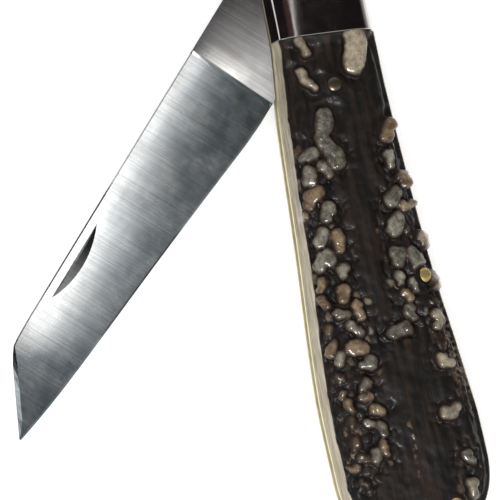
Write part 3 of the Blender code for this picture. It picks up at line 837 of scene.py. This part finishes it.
def bolster(side, scale_cover, material):
    """One polished bolster over the CAD bolster's shape, with the scale's profile."""
    node = f"{side}_bolster"
    cover = Cover(node, 0.35, like=scale_cover)
    places, _ = cover.grid()
    mesh = cover.mesh(f"{side}_cap", places, {})
    mesh.set_sharp_from_angle(angle=math.radians(45))
    piece = add_piece(f"{side}_cap", mesh, material, "handle", [node])
    edge = piece.modifiers.new("edges", "BEVEL")
    edge.width = 0.12 * MM
    edge.segments = 2
    edge.limit_method = "ANGLE"
    edge.angle_limit = math.radians(50)
    return piece


def bark_nodules(node, seed):
    """Nodules strewn along the rows: each is a chain of two rounded bars with a bend in it."""
    low, high = (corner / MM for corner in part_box(node))
    length, half, middle = high.x - low.x, (high.y - low.y) / 2, (high.y + low.y) / 2
    rng = np.random.default_rng(seed)
    made = []
    for along, across, stray, spacing, radii, reach, shades in ROWS:
        first, last = (low.x + share * length for share in along)
        sides = [middle + share * half for share in across]
        for x in np.arange(first, last, spacing):
            x += spacing * rng.uniform(-0.25, 0.25)
            y = np.interp(x, (first, last), sides) + stray * np.clip(rng.normal(), -STRAY_LIMIT, STRAY_LIMIT)
            radius, lean = rng.uniform(*radii), rng.normal(0, LEAN)
            chain = [(x, y, radius)]
            for share in BAR_SHARES:
                step = share * reach * rng.uniform(0.4, 1.0)
                x, y = x + step * math.cos(lean), y + step * math.sin(lean)
                radius *= rng.uniform(0.75, 1.1)
                lean += rng.normal(0, LEAN)
                chain.append((x, y, radius))
            if all(apart(chain, other) > NODULE_GAP for _, other in made):
                made.append((shades[rng.integers(len(shades))], chain))
    return made


def apart(chain, other):
    """Gap between two nodules, taken at the ends of their bars."""
    return min(math.hypot(a[0] - b[0], a[1] - b[1]) - a[2] - b[2] for a in chain for b in other)


# ---------------------------------------------------------------- stage


def pale_floor():
    """Plain pale floor under the knife."""
    bm = bmesh.new()
    bmesh.ops.create_grid(bm, x_segments=1, y_segments=1, size=3.0)
    mesh = bpy.data.meshes.new("floor")
    bm.to_mesh(mesh)
    bm.free()
    look = Look("floor_paper")
    tone = look.noise((0.02, 0.02, 0.02), detail=2.0)
    paper = look.mix(tone, (0.90, 0.90, 0.90), (0.94, 0.94, 0.94))
    look.finish(
        Base_Color=paper, Roughness=0.9, Emission_Color=(1, 1, 1, 1), Emission_Strength=0.45,
        Specular_IOR_Level=0.1,
    )
    mesh.materials.append(look.material)
    floor = bpy.data.objects.new("floor", mesh)
    bpy.context.scene.collection.objects.link(floor)
    floor.location.z = -0.0001


def soft_box(name, place, aim, size, power, shines="both", turn=0.0, colour=(1, 1, 1)):
    """Rectangular lamp; shines on matt surfaces, in reflections or in both."""
    lamp = bpy.data.lights.new(name, "AREA")
    lamp.shape = "RECTANGLE"
    lamp.size, lamp.size_y = size[0] * MM, size[1] * MM
    lamp.energy = power
    lamp.color = colour
    box = bpy.data.objects.new(name, lamp)
    bpy.context.scene.collection.objects.link(box)
    box.location = Vector(place) * MM
    facing = (Vector(aim) - Vector(place)).to_track_quat("-Z", "Y").to_matrix().to_4x4()
    box.rotation_euler = (facing @ Matrix.Rotation(turn, 4, "Z")).to_euler()
    box.visible_camera = False
    box.visible_diffuse = shines != "gloss"
    box.visible_glossy = shines != "matt"
    return box


def light_only(lamp, names):
    """Limit a lamp to the pieces whose names are given."""
    group = bpy.data.collections.new(f"{lamp.name}_lights")
    for name in names:
        group.objects.link(bpy.data.objects[name])
    lamp.light_linking.receiver_collection = group


def studio():
    """Pale room with a dark strip overhead, one big matt light, and cards that the gloss shows.

    The camera sees the pale wall; reflections see the room. Each card lights only the pieces
    that it is made for, and cards that overlap hang at different heights, or one would hide the other.
    """
    world = bpy.data.worlds.new("studio")
    bpy.context.scene.world = world
    world.use_nodes = True
    tree = world.node_tree
    spot = tree.nodes.new("ShaderNodeTexCoord")
    split = tree.nodes.new("ShaderNodeSeparateXYZ")
    tree.links.new(spot.outputs["Generated"], split.inputs[0])
    x, y, z = (split.outputs[axis] for axis in "XYZ")

    def sums(operation, a, b):
        node = tree.nodes.new("ShaderNodeMath")
        node.operation = operation
        for socket, value in zip(node.inputs, (a, b)):
            if isinstance(value, bpy.types.NodeSocket):
                tree.links.new(value, socket)
            else:
                socket.default_value = value
        return node.outputs[0]

    def rises(value, low, high):
        node = tree.nodes.new("ShaderNodeMapRange")
        tree.links.new(value, node.inputs["Value"])
        node.inputs["From Min"].default_value, node.inputs["From Max"].default_value = low, high
        return node.outputs[0]

    horizon = sums("MULTIPLY", rises(z, 0.45, 0.10), rises(sums("ADD", x, y), -0.4, 0.5))
    sides = rises(sums("ABSOLUTE", sums("ADD", x, DARK_STRIP_X), 0.0), *DARK_STRIP_EDGE)
    glow = tree.nodes.new("ShaderNodeMix")
    glow.data_type = "RGBA"
    tree.links.new(sums("MAXIMUM", horizon, sides), glow.inputs["Factor"])
    glow.inputs["A"].default_value = DARK_ROOM
    glow.inputs["B"].default_value = PALE_ROOM
    wall = tree.nodes.new("ShaderNodeMix")
    wall.data_type = "RGBA"
    seen = tree.nodes.new("ShaderNodeLightPath").outputs["Is Camera Ray"]
    tree.links.new(seen, wall.inputs["Factor"])
    tree.links.new(glow.outputs["Result"], wall.inputs["A"])
    wall.inputs["B"].default_value = SEEN_WALL
    tree.links.new(wall.outputs["Result"], tree.nodes["Background"].inputs["Color"])
    soft_box("overhead", (90, -90, 500), (45, 0, 0), (500, 500), 1.9, "matt")
    soft_box("key", KEY_PLACE, KEY_AIM, (30, 30), 0.25)
    stag_key = soft_box("stag_key", KEY_PLACE, KEY_AIM, (110, 110), 0.95, "gloss")
    light_only(stag_key, ["mark_side_stag", "pile_side_stag", "mark_side_pin", "centre_pin", "end_pin"])
    blade_cards = [
        soft_box(name, place, (*place[:2], 0), size, power, "gloss", CARD_TURN)
        for name, place, size, power in (
            ("blade_card", (36, -10, 117), (130, 45), 0.0042),
            ("spine_card", (25, -22, 112), (68, 12), 0.0048),
            ("kink_card", (43, -29, 110), (30, 7), 0.0006),
            ("tang_card", (-4, 2, 110), (8, 16), 0.0003),
        )
    ]
    blade_cards.append(soft_box("tip_card", (52, -110, 117), (52, -110, 0), (50, 50), 0.0094, "gloss"))
    for card in blade_cards:
        light_only(card, ["ground_blade"])
    strip = soft_box("strip", (-25, -13, 164), CAP_AIM, (70, 4), 0.0016, "gloss")
    warm = soft_box("warm", (-25, -50, 160), CAP_AIM, (70, 60), 0.0008, "gloss", 0.0, WARM)
    for card in (strip, warm):
        light_only(card, ["mark_side_cap", "pile_side_cap"])
    bpy.context.scene.view_settings.view_transform = "Standard"


def photo_camera():
    """Camera at the photograph's viewing angle."""
    data = bpy.data.cameras.new("camera")
    camera = bpy.data.objects.new("camera", data)
    bpy.context.scene.collection.objects.link(camera)
    data.lens = CAMERA_LENS
    data.sensor_width = 36.0
    data.clip_start, data.clip_end = 0.01, 10.0
    back = Vector((math.tan(CAMERA_LEAN_X), math.tan(CAMERA_LEAN_Y), 1.0)).normalized()
    right0 = (-back).cross(Vector((-1, 0, 0))).normalized()
    up0 = right0.cross(-back)
    c, s = math.cos(CAMERA_ROLL), math.sin(CAMERA_ROLL)
    right, up = c * right0 + s * up0, c * up0 - s * right0
    turn = Matrix((right, up, back)).transposed().to_4x4()
    camera.matrix_world = Matrix.Translation((Vector(AIM) + back * CAMERA_DISTANCE) * MM) @ turn
    bpy.context.scene.camera = camera


def blade_lines():
    """Turn that lays the blade along X, and there its spine's Y, grind line's X and kink's X."""
    joint = next(j for j in frame["joints"] if j["name"] == "blade_pivot")
    turn = math.radians(180 - max(joint["range_deg"]))
    co = np.array([v.co for v in NODES["blade"].data.vertices]) / MM
    along = co[:, 0] * math.cos(turn) - co[:, 1] * math.sin(turn)
    across = co[:, 0] * math.sin(turn) + co[:, 1] * math.cos(turn)
    spine = across.min()
    straight = np.unique(np.round(along[across < spine + 0.05], 1))
    kink = along[across < spine + KINK_DROP].max()
    return turn, float(spine), float(straight[straight > TANG_CORNER].min()), float(kink)


def pin_places():
    """Centre and radius of the pins that show in the scales."""
    places = []
    for node in ("mark_side_scale_pin", "spring_centre_pin", "spring_end_pin"):
        low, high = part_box(node)
        middle = (low + high) / 2 / MM
        places.append((middle.x, middle.y, (high.x - low.x) / 2 / MM))
    return places


photo_camera()
pale_floor()

stag = stag_look("stag_bark")
nickel = metal_look("nickel_silver_polish", (0.50, 0.48, 0.46), (0.58, 0.56, 0.53), 0.09, 0.17,
                    (0.5, 6.0, 6.0), 0.003)
pin_nickel = metal_look("nickel_silver_worn", (0.10, 0.08, 0.055), (0.20, 0.16, 0.11), 0.20, 0.30,
                        (3.0, 3.0, 3.0), 0.006, 0.8)
brass = metal_look("brass_liner", (0.66, 0.59, 0.38), (0.82, 0.76, 0.55), 0.28, 0.42,
                   (0.3, 4.0, 12.0), 0.01, 0.6)
pin_metal = metal_look("pin_brass_polish", (0.52, 0.38, 0.15), (0.72, 0.56, 0.26), 0.18, 0.32,
                       (4.0, 4.0, 4.0), 0.006, 0.65)
spring_metal = metal_look("spring_steel_satin", (0.42, 0.42, 0.42), (0.55, 0.55, 0.54), 0.22, 0.36,
                          (0.4, 6.0, 12.0), 0.008)
steel = steel_look("blade_steel_satin_painted_sheen", *blade_lines())

pins = pin_places()
covers = {
    "mark_side": stag_scale("mark_side", MARK_SEED, pins, 11, stag),
    "pile_side": stag_scale("pile_side", PILE_SEED, pins, 47, stag),
}
for side, cover in covers.items():
    bolster(side, cover, nickel)
    dressed(f"{side}_brass", f"{side}_liner", brass, "handle", 0.12, math.radians(25))
    turned(f"{side}_pin", f"{side}_scale_pin", pin_nickel, "nickel_silver", 0.45)
    for number in (1, 2):
        node = f"{side}_bolster_rivet_{number}"
        dressed(f"{side}_rivet_{number}", node, nickel, "handle", 0, math.radians(40))
dressed("spring", "backspring", spring_metal, "handle", 0.15, math.radians(25))
turned("centre_pin", "spring_centre_pin", pin_metal, "pin_brass", 0.35)
turned("end_pin", "spring_end_pin", pin_metal, "pin_brass", 0.35)
turned("pivot", "pivot_pin", nickel, "nickel_silver", 0.05, 0.03)
dressed("ground_blade", "blade", steel, "blade", 0.06, math.radians(6))

studio()
